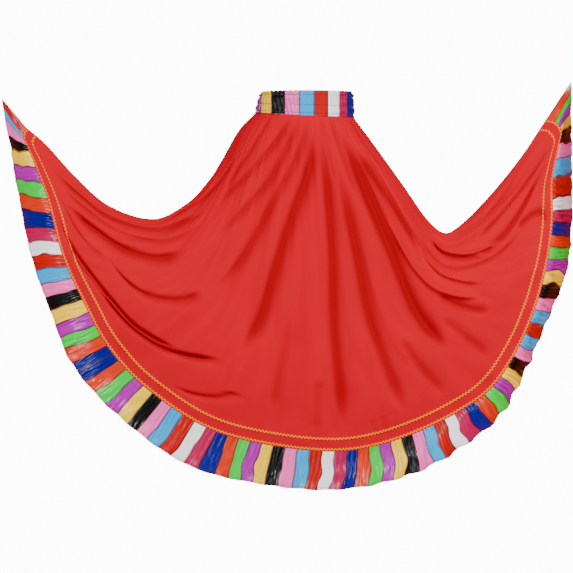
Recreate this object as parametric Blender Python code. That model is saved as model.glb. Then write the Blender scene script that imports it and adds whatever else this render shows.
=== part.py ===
# Circle skirt: a shirred waistband, two flared panels and a gathered ruffle with ric-rac rows.
# The cloth keeps the pose in which it is worn, with the hem held up and out at both sides.
# Origin: centre of the waistband. +X is the right of the front view, -Y the front, +Z up. Metres.
from collections import namedtuple
import math

import bmesh
import bpy
import numpy as np

for old_object in list(bpy.data.objects):
    bpy.data.objects.remove(old_object, do_unlink=True)

MM = 0.001
FRONT = -1
BACK = 1

# Driving sizes
WAIST_HALF_WIDTH = 0.1085
WAIST_HALF_DEPTH = 0.084
WAIST_PULL_LEFT = 0.004
WAISTBAND_TOP = 0.0285
WAISTBAND_TOP_HALF_WIDTH = 0.102
WAIST_SEAM_HEIGHT = -0.0260
WAIST_SEAM_TILT = -0.047
HEM_FORWARD = {FRONT: 0.170, BACK: 0.165}
MID_FULLNESS = 0.030
BACK_DRAWN_UP = 0.012
PANEL_CLOTH = 0.0015
RUFFLE_CLOTH = 0.0012
WAISTBAND_CLOTH = 0.0030
SEAM_GAP = 0.0003

# Each side edge is the fold on which front and back meet, from the waist down to the seam corner.
# share is the part of the edge's length, out_mm and up_mm are its place in the front view.
EdgeRow = namedtuple("EdgeRow", "share out_mm up_mm")
LEFT_EDGE = [
    EdgeRow(0.00, -112.5, -21),
    EdgeRow(0.08, -148, -58),
    EdgeRow(0.18, -184, -122),
    EdgeRow(0.26, -213, -168),
    EdgeRow(0.36, -259, -217),
    EdgeRow(0.48, -335, -254),
    EdgeRow(0.63, -434, -225),
    EdgeRow(0.78, -510, -159),
    EdgeRow(0.92, -575, -88),
    EdgeRow(1.00, -617, -52),
]
RIGHT_EDGE = [
    EdgeRow(0.00, 104.5, -31.2),
    EdgeRow(0.12, 151, -100),
    EdgeRow(0.27, 205, -184),
    EdgeRow(0.40, 255, -261),
    EdgeRow(0.47, 291, -288),
    EdgeRow(0.54, 330, -274),
    EdgeRow(0.68, 399, -207),
    EdgeRow(0.85, 470, -120),
    EdgeRow(1.00, 526, -36),
]

# Sections across the ruffle, from the left corner along the front seam to the right corner.
# The seam and the hem are places in the front view; lean_mm is how far the hem stands out.
SectionRow = namedtuple("SectionRow", "share seam_x seam_z hem_x hem_z lean_mm")
SECTIONS = [
    SectionRow(0.000, -617, -52, -671, 12, 0),
    SectionRow(0.010, -624, -72, -667, -8, 12),
    SectionRow(0.027, -610, -105, -647, -100, 48),
    SectionRow(0.046, -594, -142, -641, -137, 60),
    SectionRow(0.080, -568, -211, -628, -203, 56),
    SectionRow(0.140, -534, -334, -599, -334, 50),
    SectionRow(0.192, -489, -432, -558, -452, 44),
    SectionRow(0.246, -434, -532, -508, -572, 26),
    SectionRow(0.302, -355, -618, -411, -680, 20),
    SectionRow(0.381, -218, -708, -259, -788, 12),
    SectionRow(0.453, -73, -747, -95, -830, 14),
    SectionRow(0.530, 87, -758, 80, -840, 18),
    SectionRow(0.599, 227, -723, 244, -800, 30),
    SectionRow(0.673, 364, -653, 399, -699, 58),
    SectionRow(0.711, 421, -599, 451, -623, 68),
    SectionRow(0.769, 481, -493, 507, -504, 74),
    SectionRow(0.831, 521, -370, 561, -371, 72),
    SectionRow(0.883, 538, -262, 575, -262, 74),
    SectionRow(0.927, 540, -167, 577, -152, 72),
    SectionRow(0.965, 556, -88, 578, -79, 66),
    SectionRow(0.978, 561, -61, 579, -38, 52),
    SectionRow(0.989, 547, -41, 582, 25, 24),
    SectionRow(1.000, 526, -36, 582, 48, 0),
]


def smooth_value(rows, column, at):
    """Value of a table column at a share between its rows, on a smooth curve through them."""
    shares = [row.share for row in rows]
    values = [getattr(row, column) for row in rows]
    last = len(rows) - 1
    i = min(max(int(np.searchsorted(shares, at)) - 1, 0), last - 1)
    span = shares[i + 1] - shares[i]
    step = min(max((at - shares[i]) / span, 0.0), 1.0)

    def slope(k):
        before, after = max(k - 1, 0), min(k + 1, last)
        return (values[after] - values[before]) / (shares[after] - shares[before])

    square, cube = step * step, step ** 3
    return ((2 * cube - 3 * square + 1) * values[i] + (cube - 2 * square + step) * span * slope(i)
            + (3 * square - 2 * cube) * values[i + 1] + (cube - square) * span * slope(i + 1))


def ease(value):
    """0 below 0, 1 above 1, and a soft step between them."""
    value = min(max(value, 0.0), 1.0)
    return value * value * (3.0 - 2.0 * value)


def waist_seam(angle):
    """Across and up of the seam under the waistband, which is pulled a little up and out to the left."""
    across = WAIST_HALF_WIDTH * math.sin(angle) - WAIST_PULL_LEFT
    return np.array([across, WAIST_SEAM_HEIGHT + WAIST_SEAM_TILT * across])


def seam_outline(around):
    return np.array([smooth_value(SECTIONS, "seam_x", around), smooth_value(SECTIONS, "seam_z", around)]) * MM


def edge_outline(rows, down):
    return np.array([smooth_value(rows, "out_mm", down), smooth_value(rows, "up_mm", down)]) * MM


def smooth_cloth(side, around, down):
    """Point of a panel before its folds. around runs from the left edge to the right, down to the hem."""
    angle = math.pi * (around - 0.5)
    waist = waist_seam(angle) - np.array([0.0, SEAM_GAP])
    flat = (1.0 - down) * waist + down * seam_outline(around)
    for rows, near in ((LEFT_EDGE, 1.0 - around), (RIGHT_EDGE, around)):
        chord = (1.0 - down) * edge_outline(rows, 0.0) + down * edge_outline(rows, 1.0)
        flat = flat + near ** 2 * (edge_outline(rows, down) - chord)
    if side == BACK:
        flat[1] += BACK_DRAWN_UP * math.sin(math.pi * around) * down
    swell = math.sin(math.pi * down)
    full = WAIST_HALF_DEPTH + (HEM_FORWARD[side] - WAIST_HALF_DEPTH) * down + MID_FULLNESS * swell
    crown = max(math.sin(math.pi * around), 0.0) ** (1.0 - 0.45 * swell)
    return np.array([flat[0], side * full * crown, flat[1]])


# Folds of the two panels. Each runs straight in the cloth from its top to its end, as a soft trough
# or, where depth_mm is negative, as a ridge. around and down are shares of the panel.
FoldRow = namedtuple("FoldRow", "name around_top down_top around_end down_end width_mm depth_mm")
FRONT_FOLDS = [
    FoldRow("left of waist", 0.27, 0.00, 0.15, 0.24, 8, 6),
    FoldRow("upper left, first", 0.40, 0.00, 0.16, 0.28, 11, 8),
    FoldRow("upper left, second", 0.46, 0.00, 0.21, 0.34, 11, 8),
    FoldRow("upper left, third", 0.52, 0.00, 0.28, 0.46, 13, 9),
    FoldRow("left fall", 0.56, 0.02, 0.385, 0.62, 18, 13),
    FoldRow("middle fall", 0.59, 0.03, 0.53, 0.92, 15, 12),
    FoldRow("right of middle", 0.63, 0.10, 0.601, 0.92, 17, 12),
    FoldRow("right fall", 0.71, 0.04, 0.695, 0.72, 20, 16),
    FoldRow("right of waist", 0.76, 0.08, 0.85, 0.48, 14, 10),
    FoldRow("left swag, under the edge", 0.045, 0.42, 0.023, 0.92, 12, 8),
    FoldRow("left swag, second", 0.150, 0.42, 0.070, 0.92, 17, 12),
    FoldRow("left swag, third", 0.260, 0.50, 0.110, 0.80, 15, 10),
    FoldRow("left swag, along the ruffle", 0.360, 0.66, 0.154, 0.92, 20, 14),
    FoldRow("left swag, low", 0.390, 0.78, 0.320, 0.92, 18, 8),
    FoldRow("right swag, first ridge", 0.915, 0.40, 0.890, 0.76, 9, -6),
    FoldRow("right swag, second ridge", 0.832, 0.34, 0.822, 0.68, 11, -7),
    FoldRow("right swag, third ridge", 0.760, 0.26, 0.795, 0.70, 13, -8),
    FoldRow("right corner, first", 0.970, 0.58, 0.983, 0.92, 8, 6),
    FoldRow("right corner, second", 0.880, 0.62, 0.951, 0.92, 15, 10),
]
BACK_FOLDS = [
    FoldRow("left swag, under the edge", 0.050, 0.40, 0.025, 0.92, 14, 9),
    FoldRow("left swag, second", 0.170, 0.40, 0.075, 0.92, 20, 14),
    FoldRow("left fall", 0.300, 0.02, 0.240, 0.86, 20, 15),
    FoldRow("left of middle", 0.420, 0.02, 0.380, 0.92, 16, 12),
    FoldRow("middle fall", 0.500, 0.03, 0.515, 0.90, 21, 16),
    FoldRow("right of middle", 0.600, 0.02, 0.630, 0.92, 17, 12),
    FoldRow("right fall", 0.720, 0.03, 0.760, 0.82, 20, 15),
    FoldRow("right swag, second", 0.850, 0.34, 0.926, 0.92, 19, 12),
    FoldRow("right swag, under the edge", 0.950, 0.40, 0.976, 0.92, 14, 8),
]
FOLDS = {FRONT: FRONT_FOLDS, BACK: BACK_FOLDS}


def fold_depth(side, around, down):
    """How far the folds push the cloth in at one point."""
    depth = 0.0
    for fold in FOLDS[side]:
        length = fold.down_end - fold.down_top
        along = (down - fold.down_top) / length
        if along <= 0.0 or along >= 1.0:
            continue
        middle = fold.around_top + (fold.around_end - fold.around_top) * along
        reach = 0.01
        run = smooth_cloth(side, middle + reach, down) - smooth_cloth(side, middle - reach, down)
        width = fold.width_mm * MM * 2.0 * reach / np.linalg.norm(run)
        taper = ease(along / 0.3) * ease((1.0 - along) / 0.25)
        depth += fold.depth_mm * MM * taper * math.exp(-((around - middle) / width) ** 2)
    return depth


def panel_point(side, around, down):
    """Point in the middle of a panel's cloth, with its folds."""
    point = smooth_cloth(side, around, down)
    calm = ease(math.sin(math.pi * around) / 0.08)
    point[1] -= side * fold_depth(side, around, down) * calm
    point[1] = side * max(side * point[1], SEAM_GAP / 2.0)
    return point


def grid_normals(grid):
    """Unit normals of a grid of points, from its neighbours along both directions."""
    along = np.gradient(grid, axis=0)
    down = np.gradient(grid, axis=1)
    normals = np.cross(along, down)
    lengths = np.linalg.norm(normals, axis=2, keepdims=True)
    return normals / np.maximum(lengths, 1e-12)


def add_wall(name, middle, outward, thickness, look, ring=False, rising=False):
    """A closed cloth wall round a grid of middle points, given as columns of rows, as one named object.

    Each quad is cut in two, alike on both faces of the wall, along the diagonal that falls or rises.
    """
    columns, rows = middle.shape[:2]
    shift = outward * thickness / 2.0
    points = np.concatenate([(middle + shift).reshape(-1, 3), (middle - shift).reshape(-1, 3)])
    inner = columns * rows
    faces = []

    def add_quad(a, b, c, d):
        faces.extend([(a, b, c), (a, c, d)])

    steps = columns if ring else columns - 1
    for i in range(steps):
        here, there = i * rows, (i + 1) % columns * rows
        for j in range(rows - 1):
            a, b, c, d = here + j, here + j + 1, there + j + 1, there + j
            if rising:
                a, b, c, d = b, c, d, a
            add_quad(a, b, c, d)
            add_quad(inner + a, inner + d, inner + c, inner + b)
        bottom = rows - 1
        add_quad(here, there, inner + there, inner + here)
        add_quad(here + bottom, inner + here + bottom, inner + there + bottom, there + bottom)
    if not ring:
        for j in range(rows - 1):
            last = (columns - 1) * rows
            add_quad(j, inner + j, inner + j + 1, j + 1)
            add_quad(last + j, last + j + 1, inner + last + j + 1, inner + last + j)
    mesh = bpy.data.meshes.new(name)
    mesh.from_pydata([tuple(point) for point in points], [], faces)
    mesh.materials.append(look)
    shell = bmesh.new()
    shell.from_mesh(mesh)
    bmesh.ops.recalc_face_normals(shell, faces=shell.faces)
    shell.to_mesh(mesh)
    shell.free()
    mesh.shade_smooth()
    piece = bpy.data.objects.new(name, mesh)
    skirt.objects.link(piece)
    return piece


def make_look(name, colour, roughness):
    look = bpy.data.materials.new(name)
    look.use_nodes = True
    shader = look.node_tree.nodes["Principled BSDF"]
    shader.inputs["Base Color"].default_value = (*colour, 1.0)
    shader.inputs["Roughness"].default_value = roughness
    return look


skirt = bpy.data.collections.new("circle_skirt")
bpy.context.scene.collection.children.link(skirt)
RED_JERSEY = make_look("red_jersey", (0.80, 0.02, 0.02), 0.6)
STRIPED_SATIN = make_look("striped_satin", (0.75, 0.25, 0.45), 0.3)
GOLDEN_BRAID = make_look("golden_braid", (0.85, 0.42, 0.08), 0.5)

# Panels: the same number of columns on one side in all its pieces, closer together near the edges.
COLUMNS = {FRONT: 64, BACK: 42}
PANEL_ROWS = [0.0, 0.03, 0.08, 0.14, 0.20, 0.26, 0.32, 0.38, 0.44, 0.50, 0.57, 0.65, 0.74, 0.83, 0.92, 1.0]
EDGE_CROWDING = 0.40


def column_shares(side):
    """Shares around one side, from the left edge to the right."""
    even = np.linspace(-1.0, 1.0, COLUMNS[side] + 1)
    crowded = (1.0 - EDGE_CROWDING) * even + EDGE_CROWDING * np.sin(even * math.pi / 2.0)
    return (crowded + 1.0) / 2.0


def panel_grid(side):
    """Middle points and outward normals of one panel."""
    shares = column_shares(side)
    middle = np.array([[panel_point(side, around, down) for down in PANEL_ROWS] for around in shares])
    outward = grid_normals(middle) * side
    for i, around in enumerate(shares):
        angle = math.pi * (around - 0.5)
        ring = np.array([math.sin(angle) * WAIST_HALF_DEPTH, side * math.cos(angle) * WAIST_HALF_WIDTH, 0.0])
        outward[i, 0] = ring / np.linalg.norm(ring)
    for i in (0, -1):
        outward[i, :, 1] = 0.0
        outward[i] /= np.linalg.norm(outward[i], axis=1, keepdims=True)
    return middle, outward


PANELS = {side: panel_grid(side) for side in (FRONT, BACK)}
for side, name in ((FRONT, "front_panel"), (BACK, "back_panel")):
    add_wall(name, *PANELS[side], PANEL_CLOTH, RED_JERSEY)

# Waistband: a tube of satin with three stitched channels, puckered all round but for the flat front.
BAND_COLUMNS = 60
BAND_PUCKERS = 15
PUCKER_DEPTH = 0.0008
CHANNEL_DEPTH = 0.0012
FLAT_FRONT_ANGLE = 0.28
FLAT_FRONT_REACH = 0.42
BandRow = namedtuple("BandRow", "share channel")
BAND_ROWS = [
    BandRow(0.00, 0.6),
    BandRow(0.11, 1.0),
    BandRow(0.26, 0.0),
    BandRow(0.42, 1.0),
    BandRow(0.60, 0.0),
    BandRow(0.82, 1.0),
    BandRow(1.00, 0.4),
]


def waistband_grid():
    """Middle points and outward normals of the waistband, round the waist and from bottom to top."""
    middle = np.zeros((BAND_COLUMNS, len(BAND_ROWS), 3))
    outward = np.zeros_like(middle)
    for i in range(BAND_COLUMNS):
        angle = 2.0 * math.pi * i / BAND_COLUMNS
        ring = np.array([math.sin(angle) / WAIST_HALF_WIDTH, -math.cos(angle) / WAIST_HALF_DEPTH, 0.0])
        ring /= np.linalg.norm(ring)
        low_across, low_up = waist_seam(angle)
        from_flat = math.remainder(angle - FLAT_FRONT_ANGLE, 2.0 * math.pi)
        gathered = 1.0 - math.exp(-(from_flat / FLAT_FRONT_REACH) ** 4)
        pucker = PUCKER_DEPTH * math.cos(BAND_PUCKERS * angle)
        for j, row in enumerate(BAND_ROWS):
            across = (1.0 - row.share) * low_across + row.share * WAISTBAND_TOP_HALF_WIDTH * math.sin(angle)
            up = (1.0 - row.share) * low_up + row.share * WAISTBAND_TOP
            relief = gathered * (pucker * ease(row.share / 0.2) - CHANNEL_DEPTH * row.channel)
            middle[i, j] = np.array([across, -WAIST_HALF_DEPTH * math.cos(angle), up]) + ring * relief
            outward[i, j] = ring
    return middle, outward


add_wall("waistband", *waistband_grid(), WAISTBAND_CLOTH, STRIPED_SATIN, ring=True)

# Ruffle: satin strips gathered to the panels' seam line, in a loop round front and back.
# Each panel column is split into a few ruffle columns, so both edges of the seam run alike.
RUFFLE_SPLITS = 3
RUFFLE_ROWS = [0.0, 0.3, 0.65, 1.0]
WAVES = {FRONT: 40, BACK: 34}
WAVE_HEIGHT = 0.0055
STRIP_JOINS = {FRONT: (0.258, 0.775), BACK: (0.28, 0.76)}
RufflePlace = namedtuple("RufflePlace", "side column share")


def ruffle_places():
    """Places round the loop: along the front from left to right, then along the back to the left."""
    places = []
    for side in (FRONT, BACK):
        shares = column_shares(side)
        steps = np.arange(COLUMNS[side] * RUFFLE_SPLITS) / RUFFLE_SPLITS
        columns = steps if side == FRONT else COLUMNS[side] - steps
        for column in columns:
            places.append(RufflePlace(side, column, float(np.interp(column, range(len(shares)), shares))))
    return places


def between(columns, place):
    """Value between two neighbouring columns of a grid."""
    i = min(int(place), len(columns) - 2)
    return columns[i] + (columns[i + 1] - columns[i]) * (place - i)


def ruffle_section(place):
    """Points of one ruffle section from the seam to the hem, without its waves."""
    seam = between(PANELS[place.side][0][:, -1], place.column)
    hem = np.array([smooth_value(SECTIONS, column, place.share) for column in ("hem_x", "hem_z")]) * MM
    fall_x, fall_z = hem - seam_outline(place.share)
    fall = np.array([fall_x, 0.0, fall_z])
    lean = np.array([0.0, place.side * smooth_value(SECTIONS, "lean_mm", place.share) * MM, 0.0])
    start = seam + fall / np.linalg.norm(fall) * SEAM_GAP
    if min(place.share, 1.0 - place.share) < 1e-6:
        start[1] = 0.0
    return [start + fall * row ** 0.85 + lean * row ** 1.6 for row in RUFFLE_ROWS]


def ruffle_grid(places):
    """Middle points and outward normals all round the ruffle, with its waves."""
    middle = np.array([ruffle_section(place) for place in places])
    along = np.roll(middle, -1, axis=0) - np.roll(middle, 1, axis=0)
    outward = -np.cross(along, np.gradient(middle, axis=1))
    outward[:, 0] = [between(PANELS[place.side][1][:, -1], place.column) for place in places]
    outward /= np.linalg.norm(outward, axis=2, keepdims=True)
    for i, place in enumerate(places):
        calm = ease(math.sin(math.pi * place.share) / 0.20)
        turns = WAVES[place.side] * place.share + 0.35 * math.sin(9.0 * place.share)
        wave = WAVE_HEIGHT * calm * math.sin(2.0 * math.pi * turns)
        for j, row in enumerate(RUFFLE_ROWS):
            middle[i, j] += outward[i, j] * wave * row ** 1.2
    return middle, outward


def add_strip(name, first, last, rising=False):
    """One strip of the ruffle between two places of the loop, a little clear of its neighbours."""
    picks = np.arange(first, last + 1) % len(RUFFLE_PLACES)
    middle, outward = RUFFLE[0][picks].copy(), RUFFLE[1][picks]
    for end, inside in ((0, 1), (-1, -2)):
        inward = middle[inside] - middle[end]
        middle[end] += inward / np.linalg.norm(inward, axis=1, keepdims=True) * SEAM_GAP / 2.0
    add_wall(name, middle, outward, RUFFLE_CLOTH, STRIPED_SATIN, rising=rising)


def nearest_place(side, share):
    misses = [abs(place.share - share) if place.side == side else 1.0 for place in RUFFLE_PLACES]
    return int(np.argmin(misses))


RUFFLE_PLACES = ruffle_places()
RUFFLE = ruffle_grid(RUFFLE_PLACES)
front_left, front_right = [nearest_place(FRONT, share) for share in STRIP_JOINS[FRONT]]
back_left, back_right = [nearest_place(BACK, share) for share in STRIP_JOINS[BACK]]
add_strip("ruffle_front", front_left, front_right, rising=True)
add_strip("ruffle_right", front_right, back_right)
add_strip("ruffle_back", back_right, back_left)
add_strip("ruffle_left", back_left, front_left + len(RUFFLE_PLACES))

# Ric-rac: two rows of braid on each panel, the lower one just above the ruffle seam.
BRAID_WIDTH = 0.0045
BRAID_THICKNESS = 0.0010
BRAID_ROWS = {"lower": 0.0040, "upper": 0.0270}


def braid_edge(side, from_seam):
    """Points and normals of one edge of a braid row, in the faces of its panel's lowest stretch.

    It gets a point on each column of the panel and one where it crosses the diagonal between them.
    """
    middle, outward = PANELS[side]
    shares = from_seam / np.linalg.norm(middle[:, -1] - middle[:, -2], axis=1)

    def on_column(grid, i):
        return shares[i] * grid[i, -2] + (1.0 - shares[i]) * grid[i, -1]

    points, normals = [on_column(middle, 0)], [on_column(outward, 0)]
    for i in range(len(middle) - 1):
        crossing = (1.0 - shares[i]) / (1.0 + shares[i + 1] - shares[i])
        for grid, row in ((middle, points), (outward, normals)):
            row.append((1.0 - crossing) * grid[i, -2] + crossing * grid[i + 1, -1])
            row.append(on_column(grid, i + 1))
    normals = np.array(normals)
    return np.array(points), normals / np.linalg.norm(normals, axis=1, keepdims=True)


def braid_grid(side, from_seam):
    """Middle points and outward normals of one braid row, laid on the outside of its panel."""
    edges = [braid_edge(side, from_seam + offset) for offset in (BRAID_WIDTH / 2.0, -BRAID_WIDTH / 2.0)]
    middle = np.stack([edge[0] for edge in edges], axis=1)
    outward = np.stack([edge[1] for edge in edges], axis=1)
    lift = PANEL_CLOTH / 2.0 + SEAM_GAP + BRAID_THICKNESS / 2.0
    return middle + outward * lift, outward


for side, side_name in ((FRONT, "front"), (BACK, "back")):
    for row_name, from_seam in BRAID_ROWS.items():
        name = "ric_rac_" + row_name + "_" + side_name
        add_wall(name, *braid_grid(side, from_seam), BRAID_THICKNESS, GOLDEN_BRAID)
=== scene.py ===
import math

import bpy
import numpy as np
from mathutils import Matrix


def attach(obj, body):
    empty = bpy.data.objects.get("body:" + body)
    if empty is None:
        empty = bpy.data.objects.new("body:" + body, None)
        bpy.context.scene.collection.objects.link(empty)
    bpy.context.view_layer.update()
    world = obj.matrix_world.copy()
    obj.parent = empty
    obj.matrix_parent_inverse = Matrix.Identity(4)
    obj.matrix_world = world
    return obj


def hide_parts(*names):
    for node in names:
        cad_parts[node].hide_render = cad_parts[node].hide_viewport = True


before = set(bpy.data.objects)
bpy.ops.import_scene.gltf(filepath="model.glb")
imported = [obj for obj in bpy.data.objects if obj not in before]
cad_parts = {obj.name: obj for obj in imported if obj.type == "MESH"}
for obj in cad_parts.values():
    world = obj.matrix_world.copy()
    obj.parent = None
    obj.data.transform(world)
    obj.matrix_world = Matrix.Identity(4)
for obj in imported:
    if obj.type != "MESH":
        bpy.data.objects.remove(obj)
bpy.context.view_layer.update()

# Camera: a long lens level with the middle of the skirt, from 9 m in front, as the product was shot.
# The skirt fills the picture from corner to corner.
CAMERA_DISTANCE = 9.0
CAMERA_ASIDE = -0.044
CAMERA_HEIGHT = -0.403
VIEW_WIDTH = 1.2606
SENSOR_WIDTH = 36.0
lens = bpy.data.cameras.new("camera")
lens.sensor_width = SENSOR_WIDTH
lens.lens = SENSOR_WIDTH * CAMERA_DISTANCE / VIEW_WIDTH
camera = bpy.data.objects.new("camera", lens)
camera.location = (CAMERA_ASIDE, -CAMERA_DISTANCE, CAMERA_HEIGHT)
camera.rotation_euler = (math.pi / 2.0, 0.0, 0.0)
bpy.context.scene.collection.objects.link(camera)
bpy.context.scene.camera = camera

# Front panel: half of a circle of matt stretch jersey, cut in one piece and gathered a little at the
# waist. It hangs in folds that fan out of the waistband and sags from the two lifted corners.
MM = 0.001
FRONT = -1
BACK = 1
WAIST_HALF_WIDTH = 0.1085
WAIST_HALF_DEPTH = 0.084
WAIST_PULL_LEFT = 0.004
WAIST_SEAM_HEIGHT = -0.0260
WAIST_SEAM_TILT = -0.047
WAIST_SEAM_SAG = 0.0040
HEM_FORWARD = {FRONT: 0.170}
DRAWN_UP = {FRONT: 0.0}
MID_FULLNESS = 0.030
MID_ROUNDNESS = 0.45
SEAM_GAP = 0.0003
# Fold edges on which front and back meet: share of the length, then out and up in millimetres.
EDGES = {
    "left": np.array([
        (0.00, -112.5, -21), (0.08, -148, -58), (0.18, -184, -122), (0.26, -213, -168), (0.36, -259, -217),
        (0.48, -335, -254), (0.63, -434, -225), (0.78, -510, -159), (0.92, -575, -88), (1.00, -617, -52)]),
    "right": np.array([
        (0.00, 104.5, -31.2), (0.12, 151, -100), (0.27, 205, -184), (0.40, 255, -261), (0.47, 291, -288),
        (0.54, 330, -274), (0.68, 399, -207), (0.85, 470, -120), (1.00, 526, -36)]),
}
# Sections across the ruffle in millimetres: share of the seam, seam x and z, hem x and z, how far the
# hem leans out.
SECTIONS = np.array([
    (0.000, -617, -52, -671, 12, 0), (0.010, -624, -72, -667, -8, 12), (0.027, -610, -105, -647, -100, 48),
    (0.046, -594, -142, -641, -137, 60), (0.080, -568, -211, -628, -203, 56),
    (0.140, -534, -334, -599, -334, 50), (0.192, -489, -432, -558, -452, 44),
    (0.246, -434, -532, -508, -572, 26), (0.302, -355, -618, -411, -680, 20),
    (0.381, -218, -708, -259, -788, 12), (0.453, -73, -747, -95, -830, 14), (0.530, 87, -758, 80, -840, 18),
    (0.599, 227, -723, 244, -800, 30), (0.673, 364, -653, 399, -699, 58), (0.711, 421, -599, 451, -623, 68),
    (0.769, 481, -493, 507, -504, 74), (0.831, 521, -370, 561, -371, 72), (0.883, 538, -262, 575, -262, 74),
    (0.927, 540, -167, 577, -152, 72), (0.965, 556, -88, 578, -79, 66), (0.978, 561, -61, 579, -38, 52),
    (0.989, 547, -41, 582, 25, 24), (1.000, 526, -36, 582, 48, 0)])
SEAM_X, SEAM_Z = 1, 2


def smooth_value(table, column, at):
    """A column of a table at any shares, on a smooth curve through its rows."""
    shares, values = table[:, 0], table[:, column]
    slopes = np.empty_like(values)
    slopes[1:-1] = (values[2:] - values[:-2]) / (shares[2:] - shares[:-2])
    slopes[0] = (values[1] - values[0]) / (shares[1] - shares[0])
    slopes[-1] = (values[-1] - values[-2]) / (shares[-1] - shares[-2])
    i = np.clip(np.searchsorted(shares, at) - 1, 0, len(shares) - 2)
    span = shares[i + 1] - shares[i]
    t = np.clip((at - shares[i]) / span, 0.0, 1.0)
    return ((2 * t ** 3 - 3 * t ** 2 + 1) * values[i] + (t ** 3 - 2 * t ** 2 + t) * span * slopes[i]
            + (3 * t ** 2 - 2 * t ** 3) * values[i + 1] + (t ** 3 - t ** 2) * span * slopes[i + 1])


def ease(value):
    """0 below 0, 1 above 1, and a soft step between them."""
    value = np.clip(value, 0.0, 1.0)
    return value * value * (3.0 - 2.0 * value)


def drift_field(seed, knots_around, knots_down, around, down):
    """A smooth random field between -1 and 1 over two shares."""
    values = np.random.default_rng(seed).uniform(-1.0, 1.0, (knots_around + 1, knots_down + 1))
    across, below = np.clip(around, 0.0, 1.0) * knots_around, np.clip(down, 0.0, 1.0) * knots_down
    i = np.minimum(across.astype(int), knots_around - 1)
    j = np.minimum(below.astype(int), knots_down - 1)
    s, t = ease(across - i), ease(below - j)
    return ((1 - s) * (1 - t) * values[i, j] + s * (1 - t) * values[i + 1, j]
            + (1 - s) * t * values[i, j + 1] + s * t * values[i + 1, j + 1])


def smooth_cloth(side, around, down):
    """Points of a panel before its folds. around runs from the left edge to the right, down to the hem."""
    angle = math.pi * (around - 0.5)
    across = WAIST_HALF_WIDTH * np.sin(angle) - WAIST_PULL_LEFT
    x = (1.0 - down) * across + down * smooth_value(SECTIONS, SEAM_X, around) * MM
    sag = WAIST_SEAM_SAG * np.cos(angle) ** 2 * (side == FRONT)
    z = ((1.0 - down) * (WAIST_SEAM_HEIGHT + WAIST_SEAM_TILT * across - sag - SEAM_GAP)
         + down * smooth_value(SECTIONS, SEAM_Z, around) * MM)
    for name, near in (("left", (1.0 - around) ** 2), ("right", around ** 2)):
        rows = EDGES[name]
        x = x + near * (smooth_value(rows, 1, down) - (1.0 - down) * rows[0, 1] - down * rows[-1, 1]) * MM
        z = z + near * (smooth_value(rows, 2, down) - (1.0 - down) * rows[0, 2] - down * rows[-1, 2]) * MM
    bow = np.maximum(np.sin(math.pi * around), 0.0)
    z = z + DRAWN_UP[side] * bow * down
    swell = np.sin(math.pi * down)
    full = WAIST_HALF_DEPTH + (HEM_FORWARD[side] - WAIST_HALF_DEPTH) * down + MID_FULLNESS * swell
    return np.stack([x, side * full * bow ** (1.0 - MID_ROUNDNESS * swell), z], axis=-1)


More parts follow.
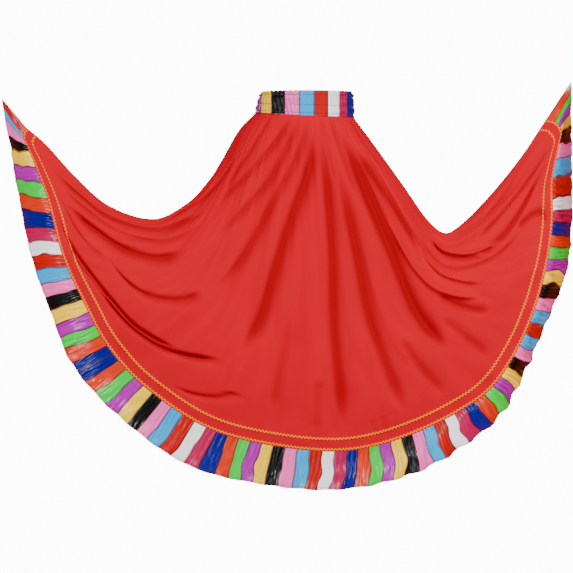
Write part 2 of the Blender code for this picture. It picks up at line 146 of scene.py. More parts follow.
# Creases: width and depth in millimetres, then the line as (around, down) places. A negative depth is a
# ridge. The line is rounded, the crease is steeper on its left side, and it thins out at both ends.
CREASES = {FRONT: [
    ("under the waistband, left", 7, 5,
     [(0.27, 0.00), (0.256, 0.02), (0.22, 0.10), (0.17, 0.17), (0.15, 0.24)]),
    ("upper left, first", 8, 7,
     [(0.40, 0.00), (0.37, 0.05), (0.29, 0.12), (0.256, 0.15), (0.175, 0.23), (0.15, 0.28)]),
    ("upper left, second", 9, 7,
     [(0.46, 0.00), (0.43, 0.05), (0.39, 0.10), (0.34, 0.17), (0.28, 0.23), (0.21, 0.34)]),
    ("upper left, third", 10, 8,
     [(0.51, 0.00), (0.49, 0.06), (0.42, 0.14), (0.375, 0.19), (0.34, 0.28), (0.28, 0.46)]),
    ("left fall", 14, 12,
     [(0.55, 0.02), (0.53, 0.09), (0.49, 0.14), (0.45, 0.20), (0.41, 0.32), (0.394, 0.51), (0.385, 0.62)]),
    ("middle fall", 12, 11,
     [(0.585, 0.02), (0.575, 0.12), (0.56, 0.23), (0.54, 0.47), (0.53, 0.81), (0.53, 0.92)]),
    ("right of middle", 13, 11,
     [(0.63, 0.10), (0.625, 0.21), (0.619, 0.34), (0.613, 0.51), (0.606, 0.64), (0.601, 0.92)]),
    ("right fall", 15, 16,
     [(0.71, 0.03), (0.713, 0.10), (0.719, 0.26), (0.725, 0.39), (0.706, 0.54), (0.694, 0.72)]),
    ("right of waist", 12, 10,
     [(0.76, 0.08), (0.79, 0.17), (0.81, 0.23), (0.82, 0.30), (0.84, 0.39), (0.85, 0.48)]),
    ("under the left edge", 7, 6,
     [(0.125, 0.14), (0.106, 0.19), (0.08, 0.24), (0.056, 0.30), (0.025, 0.37), (0.02, 0.45)]),
    ("left swag, first", 10, 8,
     [(0.13, 0.29), (0.07, 0.38), (0.05, 0.43), (0.038, 0.51), (0.031, 0.57), (0.031, 0.89), (0.02, 0.94)]),
    ("left swag, second", 13, 11,
     [(0.15, 0.42), (0.14, 0.47), (0.125, 0.54), (0.106, 0.62), (0.09, 0.72), (0.075, 0.92)]),
    ("left swag, third", 13, 9, [(0.26, 0.47), (0.25, 0.52), (0.225, 0.59), (0.19, 0.68), (0.12, 0.76)]),
    ("left swag, along the ruffle", 16, 12,
     [(0.36, 0.66), (0.33, 0.71), (0.29, 0.77), (0.19, 0.88), (0.16, 0.92)]),
    ("left swag, under the ridge", 15, 11,
     [(0.30, 0.72), (0.25, 0.79), (0.17, 0.87), (0.145, 0.91), (0.115, 0.96), (0.075, 0.985)]),
    ("left swag, between", 8, 6,
     [(0.135, 0.34), (0.095, 0.44), (0.075, 0.54), (0.06, 0.66), (0.05, 0.92)]),
    ("left swag, low", 14, 7, [(0.40, 0.78), (0.38, 0.84), (0.356, 0.88), (0.325, 0.92)]),
    ("beside the left seam", 8, 7, [(0.20, 0.84), (0.18, 0.88), (0.15, 0.93), (0.106, 0.97)]),
    ("ridge at the left seam", 9, -6, [(0.125, 0.74), (0.11, 0.84), (0.09, 0.90), (0.05, 0.94)]),
    ("right swag, first ridge", 5, -8, [(0.925, 0.40), (0.91, 0.50), (0.894, 0.57), (0.89, 0.76)]),
    ("right swag, between", 5, 7, [(0.915, 0.40), (0.895, 0.49), (0.885, 0.56), (0.872, 0.66)]),
    ("right swag, second ridge", 7, -10, [(0.832, 0.34), (0.838, 0.46), (0.830, 0.56), (0.822, 0.68)]),
    ("right swag, third ridge", 9, -12, [(0.755, 0.26), (0.77, 0.39), (0.788, 0.47), (0.795, 0.70)]),
    ("right swag, fine, upper", 4, -5,
     [(0.955, 0.38), (0.950, 0.48), (0.952, 0.58), (0.965, 0.70), (0.982, 0.86)]),
    ("right swag, fine, lower", 5, 6,
     [(0.865, 0.36), (0.860, 0.46), (0.856, 0.56), (0.866, 0.70), (0.900, 0.86)]),
    ("right swag, low", 9, 8, [(0.776, 0.50), (0.772, 0.58), (0.770, 0.66), (0.776, 0.78)]),
    ("right corner, first", 6, 6, [(0.975, 0.60), (0.98, 0.68), (0.994, 0.82), (0.992, 0.93)]),
    ("right corner, second", 11, 10, [(0.88, 0.62), (0.906, 0.77), (0.93, 0.86), (0.965, 0.93)]),
    ("right corner, third", 9, 7, [(0.92, 0.60), (0.945, 0.72), (0.965, 0.84), (0.98, 0.93)]),
    ("beside the right seam", 9, 9, [(0.90, 0.80), (0.905, 0.88), (0.90, 0.94), (0.88, 0.975)]),
    ("short, right of the waist", 6, 4, [(0.665, 0.00), (0.668, 0.08), (0.672, 0.20)]),
    ("short, under the waist", 5, 3, [(0.60, 0.00), (0.602, 0.07), (0.606, 0.16)]),
    ("short, far right", 6, 4, [(0.84, 0.00), (0.86, 0.08), (0.885, 0.18)]),
    ("low, middle left", 10, 5, [(0.455, 0.44), (0.450, 0.62), (0.446, 0.86)]),
    ("low, middle right", 10, 6, [(0.652, 0.55), (0.648, 0.70), (0.652, 0.90)]),
    ("low, right", 10, 6, [(0.735, 0.58), (0.728, 0.72), (0.722, 0.90)]),
    ("low, far left", 9, 5, [(0.505, 0.66), (0.500, 0.80), (0.497, 0.93)]),
    ("small, above the braid, first", 4, 2.2, [(0.575, 0.86), (0.574, 0.97)]),
    ("small, above the braid, second", 4, 2.2, [(0.590, 0.85), (0.588, 0.97)]),
    ("small, above the braid, third", 4, 2.0, [(0.563, 0.87), (0.562, 0.97)]),
]}
CREASE_KNOTS, CREASE_ROUNDING = 24, 5
CREASE_STARTS_OVER, CREASE_ENDS_OVER = 0.18, 0.22
CREASE_SIDES = {"left": 1.35, "right": 0.8}
CREASE_END_WIDTH = 0.45
CREASE_POWER = 1.5
# Ripples of the cloth: seed, knots around and down, height in millimetres.
RIPPLES = {FRONT: ((11, 46, 5, 1.6), (12, 90, 8, 0.7))}
RIPPLES_START = 0.08
# Crease depth at which the painted shade in the jersey's folds is at its darkest.
FOLD_SHADE_FULL_DEPTH = 0.010
# Folds fade out over these shares of a panel at its side edges and at its hem.
STILL_EDGE, STILL_HEM, HEM_REST = 0.08, 0.05, 0.04


def crease_depth(side, around, down, reach=0.004):
    """How far creases and small ripples push the cloth in."""
    before, after = np.clip(around - reach, 0, 1), np.clip(around + reach, 0, 1)
    run = smooth_cloth(side, after, down) - smooth_cloth(side, before, down)
    metres = np.linalg.norm(run, axis=-1) / (after - before)
    depth = np.zeros_like(around)
    for _, width, deep, line in CREASES[side]:
        places, downs = np.array(line).T
        along = (down - downs[0]) / (downs[-1] - downs[0])
        knots = np.linspace(downs[0], downs[-1], CREASE_KNOTS)
        bent = np.interp(knots, downs, places)
        longer = np.pad(bent, CREASE_ROUNDING // 2, mode="reflect", reflect_type="odd")
        rounded = np.convolve(longer, np.ones(CREASE_ROUNDING) / CREASE_ROUNDING, "valid")
        offset = (around - np.interp(down, knots, rounded)) * metres / (width * MM)
        taper = ease(along / CREASE_STARTS_OVER) * ease((1.0 - along) / CREASE_ENDS_OVER)
        offset = offset * np.where(offset > 0, CREASE_SIDES["right"], CREASE_SIDES["left"])
        offset = offset / (CREASE_END_WIDTH + (1.0 - CREASE_END_WIDTH) * taper)
        depth += deep * MM * taper * np.exp(-np.abs(offset) ** CREASE_POWER)
    for seed, knots_around, knots_down, high in RIPPLES[side]:
        ripple = drift_field(seed, knots_around, knots_down, around, down)
        depth += high * MM * ripple * ease(down / RIPPLES_START)
    return depth


def from_edges(around):
    """0 at a panel's side edges and 1 away from them."""
    return ease(np.sin(math.pi * around) / STILL_EDGE)


def fold_shade_share(side, around, down):
    """How deep in a fold the cloth is, from 0 to 1, and so how strongly painted shade darkens the jersey
    there.
    """
    return np.clip(crease_depth(side, around, down) / FOLD_SHADE_FULL_DEPTH, 0.0, 1.0) * from_edges(around)


def panel_point(side, around, down):
    """Points in the middle of a panel's cloth, with its folds. Its side edges and its seams stay put."""
    points = smooth_cloth(side, around, down)
    calm = from_edges(around) * ease((1.0 - down) / STILL_HEM + HEM_REST)
    points[..., 1] -= side * crease_depth(side, around, down) * calm
    points[..., 1] = side * np.maximum(side * points[..., 1], SEAM_GAP / 2.0)
    return points


def panel_grid(columns, rows, crowding=0.4):
    """Shares around and down, closer together near both side edges."""
    even = np.linspace(-1.0, 1.0, columns)
    crowded = ((1.0 - crowding) * even + crowding * np.sin(even * math.pi / 2.0) + 1.0) / 2.0
    return np.meshgrid(crowded, np.linspace(0, 1, rows), indexing="ij")


def sheet_mesh(name, points, turned=False, **values):
    """A sheet of quads over a grid of points, columns of rows, with a UV map and named point values."""
    columns, rows = points.shape[:2]
    i, j = np.meshgrid(np.arange(columns - 1), np.arange(rows - 1), indexing="ij")
    corners = [(i, j), (i, j + 1), (i + 1, j + 1), (i + 1, j)]
    quads = np.stack([(a * rows + b).ravel() for a, b in (corners[::-1] if turned else corners)], axis=1)
    mesh = bpy.data.meshes.new(name)
    mesh.from_pydata(points.reshape(-1, 3).tolist(), [], quads.tolist())
    uv = np.stack(np.meshgrid(np.linspace(0, 1, columns), np.linspace(1, 0, rows), indexing="ij"), axis=-1)
    uv_layer = mesh.uv_layers.new(name="UVMap")
    loops = np.empty(len(mesh.loops), np.int32)
    mesh.loops.foreach_get("vertex_index", loops)
    uv_layer.data.foreach_set("uv", uv.reshape(-1, 2)[loops].ravel().astype(np.float32))
    for label, value in values.items():
        layer = mesh.attributes.new(label, "FLOAT", "POINT")
        layer.data.foreach_set("value", np.broadcast_to(value, (columns, rows)).ravel().astype(np.float32))
    mesh.shade_smooth()
    piece = bpy.data.objects.new(name, mesh)
    bpy.context.scene.collection.objects.link(piece)
    return piece


class Value:
    """A node's output in an expression: an operator adds a Math node."""

    def __init__(self, look, socket):
        self.look, self.socket = look, socket

    def __add__(self, other):
        return self.look.math("ADD", self, other)

    def __mul__(self, other):
        return self.look.math("MULTIPLY", self, other)

    def __sub__(self, other):
        return self.look.math("SUBTRACT", self, other)

    def __rsub__(self, other):
        return self.look.math("SUBTRACT", other, self)

    __radd__ = __add__
    __rmul__ = __mul__


class Look:
    """A material with one Principled shader, whose fixed values are given by socket name."""

    def __init__(self, name, **fixed):
        self.material = bpy.data.materials.new(name)
        self.material.use_nodes = True
        self.tree = self.material.node_tree
        self.shader = self.tree.nodes["Principled BSDF"]
        for socket, value in fixed.items():
            self.shader.inputs[socket.replace("_", " ")].default_value = value

    def node(self, kind, settings, inputs, output=0):
        made = self.tree.nodes.new(kind)
        for key, value in settings.items():
            if key == "stops":
                for n, (place, colour) in enumerate(value):
                    stop = made.color_ramp.elements[n] if n < 2 else made.color_ramp.elements.new(place)
                    stop.position, stop.color = place, colour
            elif key == "interpolation":
                made.color_ramp.interpolation = value
            else:
                setattr(made, key, value)
        for key, value in inputs.items():
            self.feed(made.inputs[key], value)
        return Value(self, made.outputs[output])

    def feed(self, socket, value):
        if isinstance(value, Value):
            self.tree.links.new(value.socket, socket)
        else:
            socket.default_value = value

    def math(self, operation, *inputs, clamp=False):
        settings = {"operation": operation, "use_clamp": clamp}
        return self.node("ShaderNodeMath", settings, dict(enumerate(inputs)))

    def point_value(self, name):
        return self.node("ShaderNodeAttribute", {"attribute_name": name}, {}, "Fac")

    def place(self, kind):
        return self.node("ShaderNodeTexCoord", {}, {}, kind)

    def noise(self, place, scale, detail=2.0):
        return self.node("ShaderNodeTexNoise", {"noise_dimensions": "3D"},
                         {"Vector": place, "Scale": scale, "Detail": detail, "Roughness": 0.5})

    def stretched(self, source, factors):
        return self.node("ShaderNodeMapping", {}, {"Vector": source, "Scale": factors})

    def mix(self, share, first, second):
        return self.node("ShaderNodeMix", {"data_type": "RGBA"}, {"Factor": share, 6: first, 7: second}, 2)

    def bump(self, height, distance, strength=1.0):
        inputs = {"Height": height, "Distance": distance, "Strength": strength}
        return self.node("ShaderNodeBump", {}, inputs)


jersey = Look("red_jersey_look", Specular_IOR_Level=0.0)
# The last of these reds is painted shade: the deep red that the jersey's creases are darkened to.
RED, LIGHT_RED, FOLD_SHADE_RED = (0.47, 0.0, 0.010, 1.0), (0.55, 0.0, 0.014, 1.0), (0.17, 0.0, 0.001, 1.0)
streaks = jersey.noise(jersey.stretched(jersey.place("UV"), (70.0, 7.0, 1.0)), scale=1.0, detail=3.0)
knit = jersey.noise(jersey.place("Object"), scale=900.0, detail=1.0)
open_red = jersey.mix(streaks, RED, LIGHT_RED)
# Painted shade: the point value fold, from the crease depth, darkens the jersey towards a deep red in its
# creases.
fold_shaded_red = jersey.mix(jersey.point_value("fold") * 0.55, open_red, FOLD_SHADE_RED)
jersey.feed(jersey.shader.inputs["Base Color"], fold_shaded_red)
jersey.feed(jersey.shader.inputs["Roughness"], knit * 0.15 + 0.5)
jersey_relief = jersey.bump(streaks * 0.8 + knit * 0.12, distance=0.0012, strength=0.7)
jersey.feed(jersey.shader.inputs["Normal"], jersey_relief)

front_around, front_down = panel_grid(columns=340, rows=190)
# The point value fold carries the painted shade in the creases.
front_cloth = sheet_mesh("front_panel_cloth", panel_point(FRONT, front_around, front_down),
                         fold=fold_shade_share(FRONT, front_around, front_down))
front_cloth.data.materials.append(jersey.material)
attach(front_cloth, "root")
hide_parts("front_panel")

# Back panel: the other half of the circle, of the same jersey, joined to the front on both fold edges.
# It hangs like the front, in folds of its own.
HEM_FORWARD[BACK] = 0.165
DRAWN_UP[BACK] = 0.012
CREASES[BACK] = [
    ("under the left edge", 12, 8, [(0.05, 0.40), (0.035, 0.62), (0.025, 0.92)]),
    ("left swag, second", 16, 13, [(0.17, 0.40), (0.12, 0.62), (0.075, 0.92)]),
    ("left swag, third", 12, 7, [(0.23, 0.52), (0.18, 0.70), (0.13, 0.90)]),
    ("left fall", 17, 14, [(0.33, 0.02), (0.29, 0.30), (0.26, 0.55), (0.24, 0.86)]),
    ("left fall, beside", 10, 6, [(0.37, 0.00), (0.35, 0.14), (0.33, 0.40)]),
    ("left of middle", 14, 12, [(0.42, 0.02), (0.405, 0.30), (0.39, 0.60), (0.38, 0.92)]),
    ("middle, short", 9, 6, [(0.46, 0.00), (0.45, 0.16), (0.445, 0.42)]),
    ("middle fall", 18, 15, [(0.50, 0.03), (0.505, 0.35), (0.515, 0.90)]),
    ("right of middle", 15, 12, [(0.60, 0.02), (0.61, 0.40), (0.63, 0.92)]),
    ("right, short", 10, 6, [(0.66, 0.00), (0.67, 0.18), (0.69, 0.46)]),
    ("right fall", 17, 14, [(0.72, 0.03), (0.735, 0.35), (0.76, 0.82)]),
    ("right swag, third", 12, 7, [(0.80, 0.46), (0.84, 0.66), (0.88, 0.90)]),
    ("right swag, second", 16, 12, [(0.85, 0.34), (0.89, 0.60), (0.926, 0.92)]),
    ("under the right edge", 12, 8, [(0.95, 0.40), (0.96, 0.62), (0.976, 0.92)]),
]
RIPPLES[BACK] = ((21, 40, 5, 1.8), (22, 80, 8, 0.8))
back_around, back_down = panel_grid(columns=250, rows=150)
# The point value fold carries the painted shade in the creases.
back_cloth = sheet_mesh("back_panel_cloth", panel_point(BACK, back_around, back_down),
                        turned=True, fold=fold_shade_share(BACK, back_around, back_down))
back_cloth.data.materials.append(jersey.material)
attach(back_cloth, "root")
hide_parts("back_panel")

# Ruffle: strips of satin with crosswise stripes in eleven colours, gathered to the panels' lower edge.
# Each strip is one width of the cloth, about 42 stripes. They meet twice on the front and twice behind.
HEM_X, HEM_Z, HEM_LEAN = 3, 4, 5
STRIPE_COLOURS = {
    "blue": (8, 4, 120), "orange": (212, 40, 0), "green": (0, 205, 50), "purple": (165, 0, 160),
    "yellow": (255, 205, 0), "black": (4, 2, 3), "pink": (250, 95, 180), "cyan": (0, 160, 225),
    "red": (185, 0, 3), "white": (255, 248, 253), "magenta": (180, 0, 75)}
FRONT_JOIN_LEFT, FRONT_JOIN_RIGHT = 0.2555, 0.769
BACK_JOIN_LEFT, BACK_JOIN_RIGHT = 0.28, 0.76
# Number of stripes at each share of the front seam. The left strip counts down to the join.
LEFT_COUNT = np.array([
    (0, 20), (0.010, 19), (0.017, 17.6), (0.027, 16), (0.046, 15), (0.080, 13), (0.112, 11), (0.140, 9),
    (0.167, 7), (0.192, 5), (0.221, 3), (0.246, 1),
    (FRONT_JOIN_LEFT, 0)])
MIDDLE_COUNT = np.array([
    (FRONT_JOIN_LEFT, 0), (0.265, 1), (0.302, 4), (0.339, 7), (0.381, 10), (0.417, 13), (0.453, 16),
    (0.491, 19), (0.530, 22), (0.564, 25), (0.599, 28), (0.636, 31), (0.673, 34), (0.711, 37), (0.749, 40),
    (FRONT_JOIN_RIGHT, 41.5)])
RIGHT_COUNT = np.array([
    (FRONT_JOIN_RIGHT, 41.5), (0.803, 39), (0.831, 37), (0.857, 35), (0.883, 33), (0.906, 31), (0.927, 30),
    (0.947, 29), (0.965, 28), (0.978, 27), (0.989, 24), (1.0, 23)])
STRIP_STRIPES = 42
FALL_POWER, LEAN_POWER = 0.85, 1.6
# Waves run from seam to hem. They are low at both sides of the skirt and bunch up a little.
WAVES = {FRONT: 40, BACK: 34}
WAVE_HEIGHT = 0.0036
WAVE_BUNCHING, WAVE_BUNCHES = 0.35, 9.0
LOW_WAVES_TO, HIGH_WAVES_OVER, LOW_WAVES = 0.15, 0.16, 0.1
# Gathers are the fine puckers that leave the seam, two or three to a stripe, and die out downwards.
GATHERS_A_STRIPE = 2.6
GATHER_HEIGHT = 0.0016
GATHER_SWERVE, GATHER_BEND = 1.3, 0.25
GATHERS_LEFT_AT_HEM = 0.25
# Crumples: seed after the strip's own, knots along and down, height, share of the fall where they start.
CRUMPLES = ((3, 150, 4, 0.0013, 0.15), (4, 420, 5, 0.0007, 0.08))
# How far a stripe's edges bend aside, in stripes. JUST_OVER keeps a whole count inside its stripe.
WIDE_BEND, SMALL_BEND = 0.26, 0.06
JUST_OVER = 1e-4
COLUMNS_A_STRIPE = 18
RUFFLE_ROWS = 17


def drift(seed, knots, at):
    """A smooth random curve between -1 and 1 over shares from 0 to 1."""
    values = np.random.default_rng(seed).uniform(-1.0, 1.0, knots + 1)
    place = np.clip(at, 0.0, 1.0) * knots
    i = np.minimum(place.astype(int), knots - 1)
    return values[i] + (values[i + 1] - values[i]) * ease(place - i)


def ruffle_base(side, share, row):
    """Points of the ruffle before its waves, at shares of the seam and of the fall."""
    seam = panel_point(side, share, np.ones_like(share))
    fall_x = (smooth_value(SECTIONS, HEM_X, share) - smooth_value(SECTIONS, SEAM_X, share)) * MM
    fall_z = (smooth_value(SECTIONS, HEM_Z, share) - smooth_value(SECTIONS, SEAM_Z, share)) * MM
    lean = side * smooth_value(SECTIONS, HEM_LEAN, share) * MM
    fallen = row ** FALL_POWER
    return seam + np.stack([fall_x * fallen, lean * row ** LEAN_POWER, fall_z * fallen], axis=-1)


def ruffle_points(side, share, row, count, seed, free):
    """Points of the ruffle with its waves, gathers and puckers. count is the number of stripes there.

    The puckers grow with free, which is 0 where two strips are joined.
    """
    base = ruffle_base(side, share, row)
    step_along, step_down = 0.0015, 0.02
    before, after = np.clip(share - step_along, 0, 1), np.clip(share + step_along, 0, 1)
    above, below = np.clip(row - step_down, 0, 1), np.clip(row + step_down, 0, 1)
    along = ruffle_base(side, after, row) - ruffle_base(side, before, row)
    fall = ruffle_base(side, share, below) - ruffle_base(side, share, above)
    out = np.cross(fall, along)
    out /= np.maximum(np.linalg.norm(out, axis=-1, keepdims=True), 1e-9)
    out *= np.sign(out[..., 1:2] * side + 1e-9)
    calm = ease(np.sin(math.pi * share) / 0.20)
    turns = WAVES[side] * share + WAVE_BUNCHING * np.sin(WAVE_BUNCHES * share)
    from_side = ease((np.minimum(share, 1.0 - share) - LOW_WAVES_TO) / HIGH_WAVES_OVER)
    high = LOW_WAVES + (1.0 - LOW_WAVES) * from_side
    push = WAVE_HEIGHT * calm * high * np.sin(2 * math.pi * turns) * row ** 1.2
    swerve = GATHER_SWERVE * drift(seed, 60, share)
    bend = GATHER_BEND * np.sin(5.0 * row + 7.0 * drift(seed + 1, 40, share))
    gather = count * GATHERS_A_STRIPE + swerve + bend
    loose = ease(row / 0.06) * (1.0 - (1.0 - GATHERS_LEFT_AT_HEM) * ease((row - 0.1) / 0.8))
    strength = 0.75 + 0.45 * drift(seed + 2, 90, share)
    push = push + free * GATHER_HEIGHT * loose * strength * np.sin(2 * math.pi * gather)
    for more, knots_along, knots_down, height, start in CRUMPLES:
        crumple = drift_field(seed + more, knots_along, knots_down, share, row)
        push = push + free * height * crumple * ease(row / start)
    at_corner = 0.15 + 0.85 * ease(np.sin(math.pi * share) / 0.06)
    return base + out * (push * at_corner)[..., None]


def linear(red, green, blue):
    """A colour given in 0 to 255 as the shader's linear one."""
    parts = [c / 255 for c in (red, green, blue)]
    return tuple(((c + 0.055) / 1.055) ** 2.4 if c > 10 / 255 else c / 12.92 for c in parts) + (1.0,)


SHADOW, SEAM_SHADOW, THREAD = (0.0, 0.0, 0.0, 1.0), (0.03, 0.005, 0.01, 1.0), (0.10, 0.01, 0.02, 1.0)
SEAM_LINE_REACH, SEAM_LINE_EDGE = 0.07, 25.0
satin = Look("striped_satin_look", Specular_IOR_Level=0.2)
stripe_number = satin.point_value("stripe")
stripe_turn = satin.math("FRACT", stripe_number * (1.0 / len(STRIPE_COLOURS)))
stripe_stops = [
    (n / len(STRIPE_COLOURS), linear(*colour)) for n, colour in enumerate(STRIPE_COLOURS.values())]
stripes = {"interpolation": "CONSTANT", "stops": stripe_stops}
satin_colour = satin.node("ShaderNodeValToRGB", stripes, {"Fac": stripe_turn})
crush = satin.noise(satin.stretched(satin.place("UV"), (330.0, 3.0, 1.0)), scale=1.0, detail=2.0)
shade = satin.noise(satin.stretched(satin.place("UV"), (90.0, 2.0, 1.0)), scale=1.0, detail=2.0)
# Painted shade: streaks of the noise shade, stretched down the fall, darken the stripe colours a little
# towards black.
shade_streaked_colour = satin.mix(shade * 0.4, satin_colour, satin.mix(0.5, satin_colour, SHADOW))
to_seam = 0.5 - satin.math("ABSOLUTE", satin.math("FRACT", stripe_number) - 0.5)
seam_line = satin.math("MULTIPLY", SEAM_LINE_REACH - to_seam, SEAM_LINE_EDGE, clamp=True)
seamed_colour = satin.mix(seam_line * 0.75, shade_streaked_colour, SEAM_SHADOW)
# Stitches are a dashed line where the point value row comes near STITCHED_ROW.
STITCHED_ROW, STITCH_REACH, STITCHES_A_STRIPE, STITCH_SHARE = 0.93, 0.009, 11.0, 0.62
on_line = satin.math("COMPARE", satin.point_value("row"), STITCHED_ROW, STITCH_REACH)
dash = satin.math("FRACT", stripe_number * STITCHES_A_STRIPE)
stitch = on_line * satin.math("LESS_THAN", dash, STITCH_SHARE)
satin.feed(satin.shader.inputs["Base Color"], satin.mix(stitch * 0.55, seamed_colour, THREAD))
satin.feed(satin.shader.inputs["Roughness"], crush * 0.16 + 0.24)
satin_relief = satin.bump(crush + shade - on_line * 0.5 + stitch * 0.4, distance=0.0011, strength=0.8)
satin.feed(satin.shader.inputs["Normal"], satin_relief)


def ruffle_strip(node, runs, seed):
    """One strip over runs of (side, first share, last share, first count, last count, table)."""
    shares, sides, counts = [], [], []
    for side, first, last, first_count, last_count, table in runs:
        steps = max(int(abs(last_count - first_count) * COLUMNS_A_STRIPE), 2)
        share = np.linspace(first, last, steps)
        count = np.linspace(first_count, last_count, steps)
        if table is not None:
            order = np.argsort(table[:, 1])
            share = np.interp(count, table[order, 1], table[order, 0])
        if shares:
            share, count = share[1:], count[1:]
        shares.append(share)
        counts.append(count)
        sides.append(np.full(len(share), side))
    shares, counts, sides = (np.concatenate(v) for v in (shares, counts, sides))
    rows = np.linspace(0, 1, RUFFLE_ROWS)
    grid_share, grid_row = np.meshgrid(shares, rows, indexing="ij")
    grid_count = np.broadcast_to(counts[:, None], grid_share.shape)
    round_share = np.broadcast_to(np.linspace(0, 1, len(shares))[:, None], grid_share.shape)
    free = ease(np.sin(math.pi * round_share) / 0.03)
    points = np.empty(grid_share.shape + (3,))
    for side in (FRONT, BACK):
        mine = sides == side
        if mine.any():
            points[mine] = ruffle_points(
                side, grid_share[mine], grid_row[mine], grid_count[mine], seed, free[mine])
    bent = (WIDE_BEND * drift_field(seed + 5, 20, 2, round_share, grid_row)
            + SMALL_BEND * drift_field(seed + 6, 60, 4, round_share, grid_row))
    bent *= ease(grid_row / 0.5) * ease(np.sin(math.pi * round_share) / 0.10)
    strip = sheet_mesh(f"{node}_cloth", points, stripe=grid_count + bent + JUST_OVER, row=grid_row)
    strip.data.materials.append(satin.material)
    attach(strip, "root")
    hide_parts(node)


ruffle_strip("ruffle_front", [(FRONT, FRONT_JOIN_LEFT, FRONT_JOIN_RIGHT, 0.0, 41.5, MIDDLE_COUNT)], 40)
ruffle_strip("ruffle_right", [
    (FRONT, FRONT_JOIN_RIGHT, 1.0, 41.5, 23.0, RIGHT_COUNT),
    (BACK, 1.0, BACK_JOIN_RIGHT, 23.0, 1.0, None)], 50)
ruffle_strip("ruffle_back", [(BACK, BACK_JOIN_RIGHT, BACK_JOIN_LEFT, 0.0, STRIP_STRIPES, None)], 60)
ruffle_strip("ruffle_left", [
    (BACK, BACK_JOIN_LEFT, 0.0, STRIP_STRIPES, 20.0, None),
    (FRONT, 0.0, FRONT_JOIN_LEFT, 20.0, 0.0, LEFT_COUNT)], 70)

# Ric-rac: golden zigzag braid, one row close above the ruffle seam and one about 2 cm higher.
# It is woven flat, 3 mm wide, and turns every 8 mm.
PANEL_CLOTH = 0.0015
BRAID_ROWS = {"lower": 0.0040, "upper": 0.0270}
BRAID_PITCH = 0.0080
BRAID_SWING = 0.0019
BRAID_HALF_WIDTH = 0.0016
BRAID_HEIGHT = 0.0011
BRAID_PROFILE = ((-1.0, 0.0), (-0.8, 0.75), (0.0, 1.0), (0.8, 0.75), (1.0, 0.0))
SECTIONS_A_PITCH = 8
braid = Look("golden_braid_look", Specular_IOR_Level=0.1)
braid_weave = braid.noise(braid.place("Object"), scale=700.0, detail=1.0)
braid_gold = braid.mix(braid_weave, linear(225, 85, 0), linear(255, 140, 0))
braid.feed(braid.shader.inputs["Base Color"], braid_gold)
braid.feed(braid.shader.inputs["Roughness"], braid_weave * 0.2 + 0.4)
braid.feed(braid.shader.inputs["Normal"], braid.bump(braid_weave, distance=0.0006, strength=0.6))


def panel_frame(side, around, down, step=0.0008):
    """A panel's unit outward normals, and metres a share of around and of down."""
    before, after = np.clip(around - step, 0, 1), np.clip(around + step, 0, 1)
    above, under = np.clip(down - step, 0, 1), np.clip(down + step, 0, 1)
    across = panel_point(side, after, down) - panel_point(side, before, down)
    across /= (after - before)[..., None]
    fall = panel_point(side, around, under) - panel_point(side, around, above)
    fall /= (under - above)[..., None]
    normal = np.cross(fall, across)
    normal /= np.maximum(np.linalg.norm(normal, axis=-1, keepdims=True), 1e-12)
    normal *= np.sign(normal[..., 1:2] * side + 1e-12)
    return normal, np.linalg.norm(across, axis=-1), np.linalg.norm(fall, axis=-1)


def braid_row(name, side, from_seam, near_seam=0.03):
    """One row of zigzag braid that follows its panel."""
    around = np.linspace(0.0005, 0.9995, 3000)
    at_seam = panel_point(side, around, np.full_like(around, 1.0))
    above_seam = panel_point(side, around, np.full_like(around, 1.0 - near_seam))
    down = 1.0 - from_seam * near_seam / np.linalg.norm(at_seam - above_seam, axis=-1)
    path = panel_point(side, around, down)
    metres = np.concatenate([[0], np.cumsum(np.linalg.norm(np.diff(path, axis=0), axis=1))])
    count = int(metres[-1] / BRAID_PITCH) * SECTIONS_A_PITCH
    at = np.linspace(0, metres[-1], count + 1)
    around, down = np.interp(at, metres, around), np.interp(at, metres, down)
    turn = 2 * math.pi * np.arange(count + 1) / SECTIONS_A_PITCH
    swing = BRAID_SWING * np.sin(turn)
    slope = BRAID_SWING * np.cos(turn) * 2 * math.pi / BRAID_PITCH
    tilt = 1.0 / np.sqrt(1.0 + slope ** 2)
    normal, across_scale, down_scale = panel_frame(side, around, down)
    columns = []
    for offset, height in BRAID_PROFILE:
        aside = -slope * tilt * offset * BRAID_HALF_WIDTH
        below = swing + tilt * offset * BRAID_HALF_WIDTH
        surface = panel_point(
            side, np.clip(around + aside / across_scale, 0, 1), np.clip(down + below / down_scale, 0, 1))
        columns.append(surface + normal * (PANEL_CLOTH / 2 + BRAID_HEIGHT * height))
    piece = sheet_mesh(name, np.stack(columns, axis=1), turned=side == BACK)
    piece.data.materials.append(braid.material)
    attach(piece, "root")
    return piece


braid_pieces = {}
for side, side_name in ((FRONT, "front"), (BACK, "back")):
    for row_name, from_seam in BRAID_ROWS.items():
        piece = braid_row(f"ric_rac_{row_name}_{side_name}_braid", side, from_seam)
        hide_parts(f"ric_rac_{row_name}_{side_name}")
        braid_pieces.setdefault(side, []).append(piece)

# Waistband: the striped satin again, doubled over three rows of elastic and stitched between them,
# so it gathers into small puckers all round but for a flat stretch right of the middle.
WAISTBAND_TOP = 0.0252
WAISTBAND_TOP_HALF_WIDTH = 0.102
BAND_OUT = 0.0016
BAND_COLUMNS, BAND_ROWS = 900, 44
FLAT_FRONT_ANGLE = 0.28
FLAT_FRONT_REACH = 0.42
CHANNELS = (0.10, 0.42, 0.82)
CHANNEL_REACH = 0.055
CHANNEL_STITCHES_REACH = 0.6
PUCKERS = 52
PUCKER_HEIGHT = 0.0010
CHANNEL_DEPTH = {"front": 0.0004, "sides": 0.0013}
CRUMPLE_HEIGHT = 0.0011
WRINKLES_A_RADIAN = 9.0
WRINKLE_HEIGHT = 0.0010
TOP_WAVE_HEIGHT = 0.0007
TOP_CORNER_DROP = 0.006
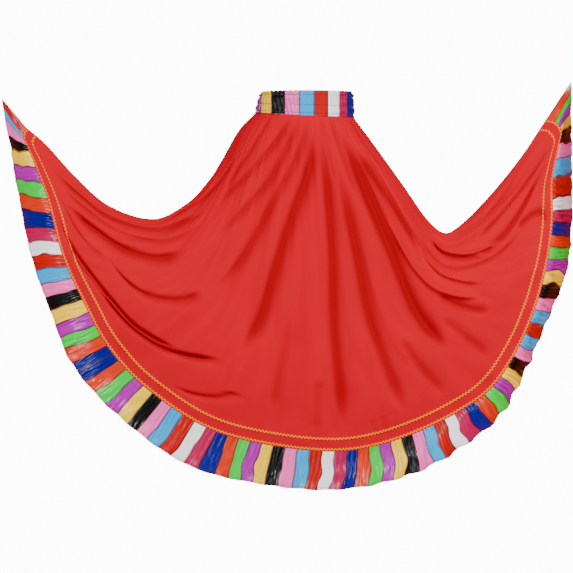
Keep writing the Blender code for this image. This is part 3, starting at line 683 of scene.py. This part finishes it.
# Number of stripes at each angle from the middle of the front, in degrees.
BAND_COUNT = np.array([
    (-66, 4), (-44.7, 5), (-25.6, 6), (-7.3, 7), (9.9, 8), (26.7, 9), (43.9, 10), (59, 11), (83, 12),
    (294, 26)])
band_angle, band_share = np.meshgrid(
    np.linspace(BAND_COUNT[0, 0], BAND_COUNT[-1, 0], BAND_COLUMNS) * math.pi / 180,
    np.linspace(1, 0, BAND_ROWS), indexing="ij")
round_share = (band_angle - band_angle.min()) / (2 * math.pi)
ends = ease(np.sin(math.pi * round_share) / 0.02)


def half_turn(angle):
    """An angle brought between minus and plus half a turn."""
    return np.remainder(angle + math.pi, 2 * math.pi) - math.pi


gathered = 1.0 - np.exp(-(half_turn(band_angle - FLAT_FRONT_ANGLE) / FLAT_FRONT_REACH) ** 4)
to_side = ease((np.abs(half_turn(band_angle)) - 0.75) / 0.45)
between = np.ones_like(band_share)
for channel in CHANNELS:
    between *= 1.0 - 0.8 * np.exp(-((band_share - channel) / CHANNEL_REACH) ** 2)
spread = 5.0 * (band_share - 0.5) * drift(82, 24, round_share)
puckers = np.sin(PUCKERS * band_angle + 2.2 * drift(81, 30, round_share) + spread)
puckers = puckers * between * (0.7 + 0.5 * drift(83, 60, round_share))
channel_depth = CHANNEL_DEPTH["front"] + (CHANNEL_DEPTH["sides"] - CHANNEL_DEPTH["front"]) * to_side
crumples = drift_field(84, 40, 9, np.remainder(round_share + 0.05 * band_share, 1.0), band_share)
wrinkle_turns = WRINKLES_A_RADIAN * band_angle + 1.7 * band_share + 0.8 * drift(85, 24, round_share)
wrinkle_strength = 0.5 + 0.5 * drift_field(86, 40, 3, round_share, band_share)
wrinkles = np.sin(2 * math.pi * wrinkle_turns) * wrinkle_strength
relief = PUCKER_HEIGHT * to_side * puckers - channel_depth * (1.0 - between)
relief = relief + CRUMPLE_HEIGHT * crumples + WRINKLE_HEIGHT * (1.0 - to_side) * wrinkles
relief = relief * gathered * ends
low_across = WAIST_HALF_WIDTH * np.sin(band_angle) - WAIST_PULL_LEFT
low_sag = WAIST_SEAM_SAG * np.maximum(np.cos(band_angle), 0.0) ** 2
low_up = WAIST_SEAM_HEIGHT + WAIST_SEAM_TILT * low_across - low_sag
band_x = (1 - band_share) * low_across + band_share * WAISTBAND_TOP_HALF_WIDTH * np.sin(band_angle)
band_z = (1 - band_share) * low_up + band_share * WAISTBAND_TOP
top_wave = np.sin(PUCKERS * band_angle + 1.0) * ease((band_share - 0.8) / 0.2)
band_z += gathered * TOP_WAVE_HEIGHT * top_wave * ends
band_z -= TOP_CORNER_DROP * ease((np.abs(np.sin(band_angle)) - 0.93) / 0.07) * band_share ** 2
ring_x, ring_y = np.sin(band_angle) / WAIST_HALF_WIDTH, -np.cos(band_angle) / WAIST_HALF_DEPTH
outward = (BAND_OUT + relief) / np.hypot(ring_x, ring_y)
band_y = -WAIST_HALF_DEPTH * np.cos(band_angle)
band_points = np.stack([band_x + ring_x * outward, band_y + ring_y * outward, band_z], axis=-1)
# The stripes stand upright on the front, although the band narrows upwards.
middle_half_width = (WAIST_HALF_WIDTH + WAISTBAND_TOP_HALF_WIDTH) / 2.0
middle_across = (band_x + WAIST_PULL_LEFT / 2.0) / middle_half_width
facing = ease((np.cos(band_angle) - 0.3) / 0.3)
stripe_angle = facing * np.arcsin(np.clip(middle_across, -0.999, 0.999)) + (1.0 - facing) * band_angle
band_stripe = np.interp(stripe_angle * 180 / math.pi, BAND_COUNT[:, 0], BAND_COUNT[:, 1])
to_channel = np.min([np.abs(band_share - channel) for channel in CHANNELS], axis=0)
band = sheet_mesh("waistband_cloth", band_points, stripe=band_stripe + JUST_OVER,
                  row=STITCHED_ROW + to_channel * CHANNEL_STITCHES_REACH)
band.data.materials.append(satin.material)
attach(band, "root")
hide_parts("waistband")

# Backdrop and light: a white lit wall far behind, a key light from the upper right, a soft fill from the
# left and a light behind the skirt.
BACKDROP_DISTANCE = 13.0
BACKDROP_HALF_SIZE = 4.0
LIT_POINT = np.array([0.0, 0.0, -0.4])
wall_edge = (-BACKDROP_HALF_SIZE, BACKDROP_HALF_SIZE)
wall_points = [[(x, BACKDROP_DISTANCE, z) for z in wall_edge] for x in wall_edge]
backdrop = sheet_mesh("backdrop", np.array(wall_points))
paper = Look("backdrop_paper", Base_Color=(0.95, 0.95, 0.95, 1.0), Roughness=0.9,
             Emission_Color=(1.0, 1.0, 1.0, 1.0), Emission_Strength=12.0)
backdrop.data.materials.append(paper.material)
for name, place, size, power, colour in (
        ("key", (1.9, -4.2, 2.6), 0.9, 430, (1.0, 0.99, 0.98)),
        ("fill", (-3.2, -3.6, 0.3), 1.6, 120, (1.0, 1.0, 1.0)),
        ("behind", (-1.6, 4.4, 2.4), 1.6, 160, (1.0, 1.0, 1.0))):
    light = bpy.data.lights.new(name, "AREA")
    light.size, light.energy, light.color = size, power, colour
    lamp = bpy.data.objects.new(name, light)
    lamp.location = place
    x, y, z = LIT_POINT - np.array(place)
    lamp.rotation_euler = (math.atan2(np.hypot(x, y), -z), 0.0, math.atan2(-x, y))
    bpy.context.scene.collection.objects.link(lamp)
world = bpy.data.worlds.new("studio")
world.use_nodes = True
world.node_tree.nodes["Background"].inputs["Color"].default_value = (1.0, 1.0, 1.0, 1.0)
world.node_tree.nodes["Background"].inputs["Strength"].default_value = 0.30
bpy.context.scene.world = world
